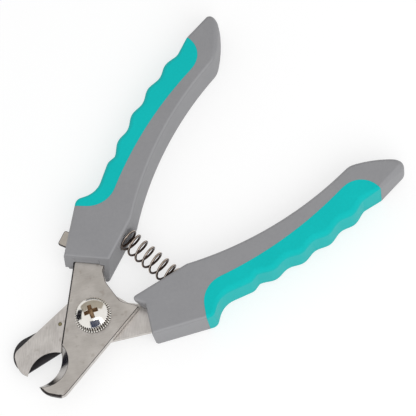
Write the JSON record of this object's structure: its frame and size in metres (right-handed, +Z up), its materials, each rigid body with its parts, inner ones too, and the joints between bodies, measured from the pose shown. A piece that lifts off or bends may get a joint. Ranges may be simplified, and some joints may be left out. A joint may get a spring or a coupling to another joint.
{
  "type": "plier nail clipper",
  "caption": "Plier-type pet nail clipper: hooked bypass blades on a knurled pivot screw, swing-out guard, coil return spring, lock lever and scalloped handles with soft overlaid grips.",
  "frame": {"origin": "where the pivot axis meets the plane that the handles' backs lie on", "axes": "+X from the pivot to the handles, +Y to the upper handle, +Z up along the pivot axis to the screw head"},
  "size_m": [0.1517, 0.1002, 0.0145],
  "materials": {
    "front_blade_steel": "satin stainless, ground bevel",
    "rear_blade_steel": "brushed stainless, ground bevel",
    "handle_plastic": "moulded, satin",
    "grip_rubber": "soft overlay, matt",
    "screw_chrome": "polished plating",
    "plated_steel": "zinc plated",
    "guard_black": "blackened sheet",
    "spring_steel": "dark nickel",
    "lever_steel": "stamped, satin",
    "pin_steel": "riveted end"
  },
  "bodies": {
    "upper": {"front_blade": "front_blade_steel", "upper_handle": "handle_plastic", "upper_grip": "grip_rubber", "pivot_screw": "screw_chrome", "head_washer": "plated_steel", "nut_washer": "plated_steel", "pivot_nut": "plated_steel", "spring": "spring_steel", "lock_rivet": "plated_steel", "lock_washer": "plated_steel"},
    "lower": {"rear_blade": "rear_blade_steel", "lower_handle": "handle_plastic", "lower_grip": "grip_rubber", "guard_pin": "pin_steel"},
    "guard": {"guard_plate": "guard_black"},
    "lever": {"lock_lever": "lever_steel"}
  },
  "joints": [
    {"name": "close_hinge", "type": "hinge", "parent": "upper", "child": "lower", "pos_m": [0, 0, 0.007], "axis": [0, 0, 1], "range_deg": [0, 24], "stiffness_Nm_per_rad": 1.2, "springref_deg": -7.45, "deforming": ["spring"]},
    {"name": "guard_swing", "type": "hinge", "parent": "lower", "child": "guard", "pos_m": [0, 0, 0.0037], "axis": [0, 0, 1], "range_deg": [-26, 0]},
    {"name": "lock_swing", "type": "hinge", "parent": "upper", "child": "lever", "pos_m": [0.01953, 0.01654, 0.006], "axis": [0, 0, 1], "range_deg": [0, 34]}
  ]
}
